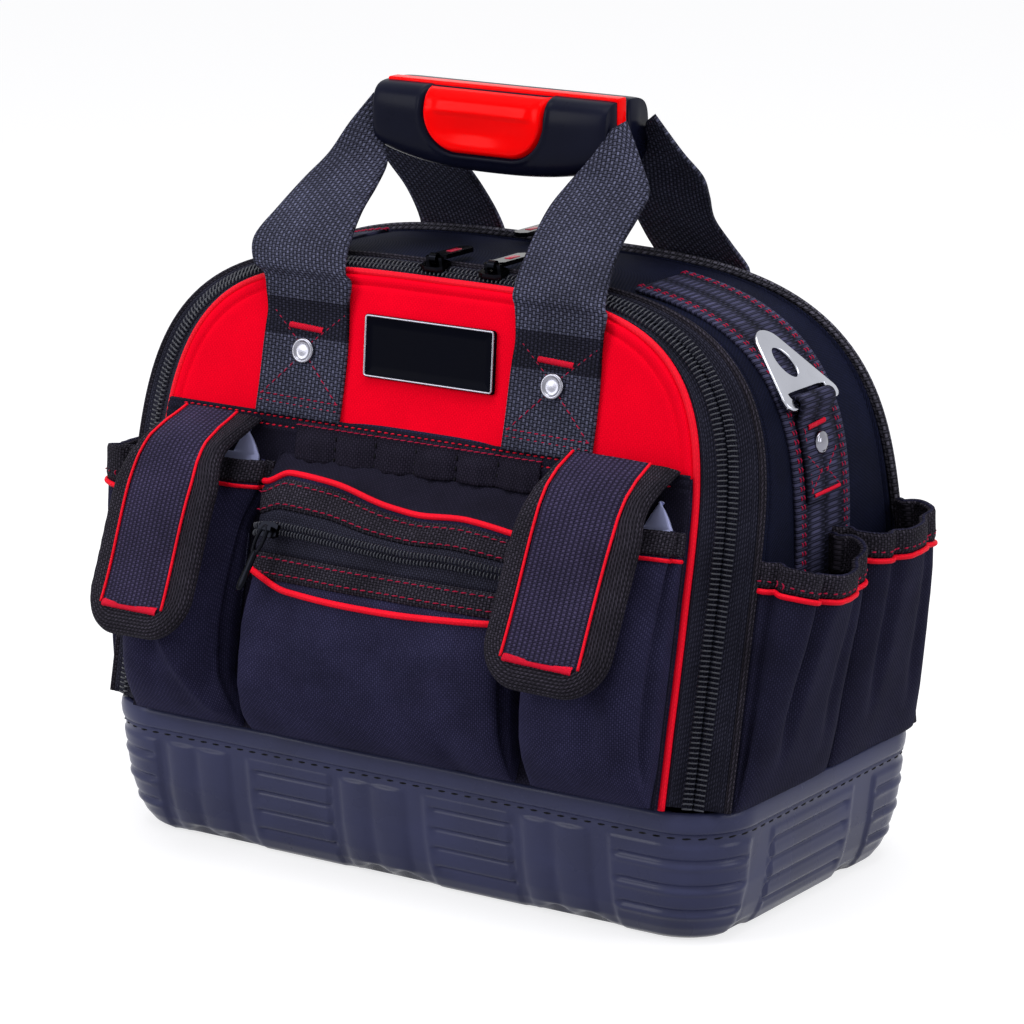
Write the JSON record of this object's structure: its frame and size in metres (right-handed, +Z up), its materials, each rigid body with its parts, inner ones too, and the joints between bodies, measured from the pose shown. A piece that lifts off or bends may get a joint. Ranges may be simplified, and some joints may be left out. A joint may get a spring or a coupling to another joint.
{
  "type": "zippered tool bag",
  "caption": "Soft tool bag on a moulded rubber tub, with fold-down zipped doors, a split carrying handle and outer pockets.",
  "frame": {"origin": "centre of the tub's flat underside", "axes": "+X to the right along the bag's length, seen from the front, +Y to the back, +Z up; the front door, with the red panel, faces -Y"},
  "size_m": [0.4226, 0.2536, 0.3848],
  "materials": {
    "tub_rubber": "semi-gloss moulded rubber",
    "black_cloth": "matt woven polyester",
    "red_cloth": "matt woven polyester",
    "webbing": "coarse woven webbing",
    "zip_coil": "zip tape and nylon coil",
    "slider_metal": "dark glossy metal",
    "chrome": "polished plating",
    "grip_black": "satin moulded plastic",
    "grip_red": "soft gloss moulded plastic",
    "board_grey": "matt stiffener board",
    "pad_pale": "matt pale lining",
    "plate_black": "gloss black plate, left bare"
  },
  "bodies": {
    "bag": {"base_tray": "tub_rubber", "base_board": "board_grey", "centre_gusset": "black_cloth", "centre_divider": "board_grey", "front_gusset_zip": "zip_coil", "rear_gusset_zip": "zip_coil", "left_side_web": "webbing", "left_ring_strap": "webbing", "left_ring_rivet": "chrome", "left_front_side_pocket": "black_cloth", "left_rear_side_pocket": "black_cloth", "right_side_web": "webbing", "right_ring_strap": "webbing", "right_ring_rivet": "chrome", "right_front_side_pocket": "black_cloth", "right_rear_side_pocket": "black_cloth"},
    "front_door": {"front_panel": "red_cloth", "front_piping": "red_cloth", "front_door_zip": "zip_coil", "front_left_strap_tab": "webbing", "front_left_rivet": "chrome", "front_right_strap_tab": "webbing", "front_right_rivet": "chrome", "name_plate": "plate_black", "front_lower_cloth": "black_cloth", "centre_pocket": "black_cloth", "pocket_zip": "zip_coil", "tool_loop_band": "webbing", "left_flap_pocket": "black_cloth", "left_pocket_pad": "pad_pale", "right_flap_pocket": "black_cloth", "right_pocket_pad": "pad_pale"},
    "rear_door": {"rear_panel": "black_cloth", "rear_piping": "red_cloth", "rear_door_zip": "zip_coil", "rear_left_strap_tab": "webbing", "rear_left_rivet": "chrome", "rear_right_strap_tab": "webbing", "rear_right_rivet": "chrome"},
    "front_handle": {"front_left_strap": "webbing", "front_right_strap": "webbing", "front_grip_half": "grip_black", "front_grip_insert": "grip_red"},
    "rear_handle": {"rear_left_strap": "webbing", "rear_right_strap": "webbing", "rear_grip_half": "grip_black"},
    "left_flap_body": {"left_flap": "webbing"},
    "right_flap_body": {"right_flap": "webbing"},
    "left_ring_body": {"left_ring": "chrome"},
    "right_ring_body": {"right_ring": "chrome"},
    "front_left_slider_body": {"front_left_slider": "slider_metal"},
    "front_right_slider_body": {"front_right_slider": "slider_metal"},
    "rear_left_slider_body": {"rear_left_slider": "slider_metal"},
    "rear_right_slider_body": {"rear_right_slider": "slider_metal"},
    "pocket_slider_body": {"pocket_slider": "slider_metal"},
    "front_left_pull_body": {"front_left_pull": "slider_metal"},
    "front_right_pull_body": {"front_right_pull": "slider_metal"},
    "rear_left_pull_body": {"rear_left_pull": "slider_metal"},
    "rear_right_pull_body": {"rear_right_pull": "slider_metal"},
    "pocket_pull_body": {"pocket_pull": "slider_metal"}
  },
  "joints": [
    {"name": "front_door_fold", "type": "hinge", "parent": "bag", "child": "front_door", "pos_m": [0, -0.104, 0.069], "axis": [1, 0, 0], "range_deg": [0, 90]},
    {"name": "rear_door_fold", "type": "hinge", "parent": "bag", "child": "rear_door", "pos_m": [0, 0.104, 0.069], "axis": [-1, 0, 0], "range_deg": [0, 90]},
    {"name": "front_handle_fold", "type": "hinge", "parent": "front_door", "child": "front_handle", "pos_m": [0, -0.06508, 0.29587], "axis": [-1, 0, 0], "range_deg": [-150, 0]},
    {"name": "rear_handle_fold", "type": "hinge", "parent": "rear_door", "child": "rear_handle", "pos_m": [0, 0.06508, 0.29587], "axis": [1, 0, 0], "range_deg": [-150, 0]},
    {"name": "left_flap_lift", "type": "hinge", "parent": "front_door", "child": "left_flap_body", "pos_m": [-0.112, -0.07863, 0.22923], "axis": [-1, 0, 0], "range_deg": [0, 135]},
    {"name": "right_flap_lift", "type": "hinge", "parent": "front_door", "child": "right_flap_body", "pos_m": [0.112, -0.07863, 0.22923], "axis": [-1, 0, 0], "range_deg": [0, 135]},
    {"name": "left_ring_turn", "type": "hinge", "parent": "bag", "child": "left_ring_body", "pos_m": [-0.17775, 0, 0.251], "axis": [0, -1, 0], "range_deg": [0, 160]},
    {"name": "right_ring_turn", "type": "hinge", "parent": "bag", "child": "right_ring_body", "pos_m": [0.17775, 0, 0.251], "axis": [0, 1, 0], "range_deg": [0, 160]},
    {"name": "front_left_slider_run", "type": "slide", "parent": "front_door", "child": "front_left_slider_body", "axis": [1, 0, 0], "range_m": [-0.031, 0.015]},
    {"name": "front_right_slider_run", "type": "slide", "parent": "front_door", "child": "front_right_slider_body", "axis": [1, 0, 0], "range_m": [0, 0.0155]},
    {"name": "rear_left_slider_run", "type": "slide", "parent": "rear_door", "child": "rear_left_slider_body", "axis": [1, 0, 0], "range_m": [-0.031, 0.015]},
    {"name": "rear_right_slider_run", "type": "slide", "parent": "rear_door", "child": "rear_right_slider_body", "axis": [1, 0, 0], "range_m": [0, 0.0155]},
    {"name": "pocket_slider_run", "type": "slide", "parent": "front_door", "child": "pocket_slider_body", "axis": [1, 0, 0], "range_m": [0, 0.12]},
    {"name": "front_left_pull_turn", "type": "hinge", "parent": "front_left_slider_body", "child": "front_left_pull_body", "pos_m": [-0.009, -0.05129, 0.30583], "axis": [1, 0, 0], "range_deg": [0, 150]},
    {"name": "front_right_pull_turn", "type": "hinge", "parent": "front_right_slider_body", "child": "front_right_pull_body", "pos_m": [0.025, -0.05129, 0.30583], "axis": [-1, 0, 0], "range_deg": [-150, 0]},
    {"name": "rear_left_pull_turn", "type": "hinge", "parent": "rear_left_slider_body", "child": "rear_left_pull_body", "pos_m": [-0.009, 0.05129, 0.30583], "axis": [-1, 0, 0], "range_deg": [0, 150]},
    {"name": "rear_right_pull_turn", "type": "hinge", "parent": "rear_right_slider_body", "child": "rear_right_pull_body", "pos_m": [0.025, 0.05129, 0.30583], "axis": [1, 0, 0], "range_deg": [-150, 0]},
    {"name": "pocket_pull_turn", "type": "hinge", "parent": "pocket_slider_body", "child": "pocket_pull_body", "pos_m": [-0.06, -0.12262, 0.17893], "axis": [-1, 0, 0], "range_deg": [0, 150]}
  ]
}
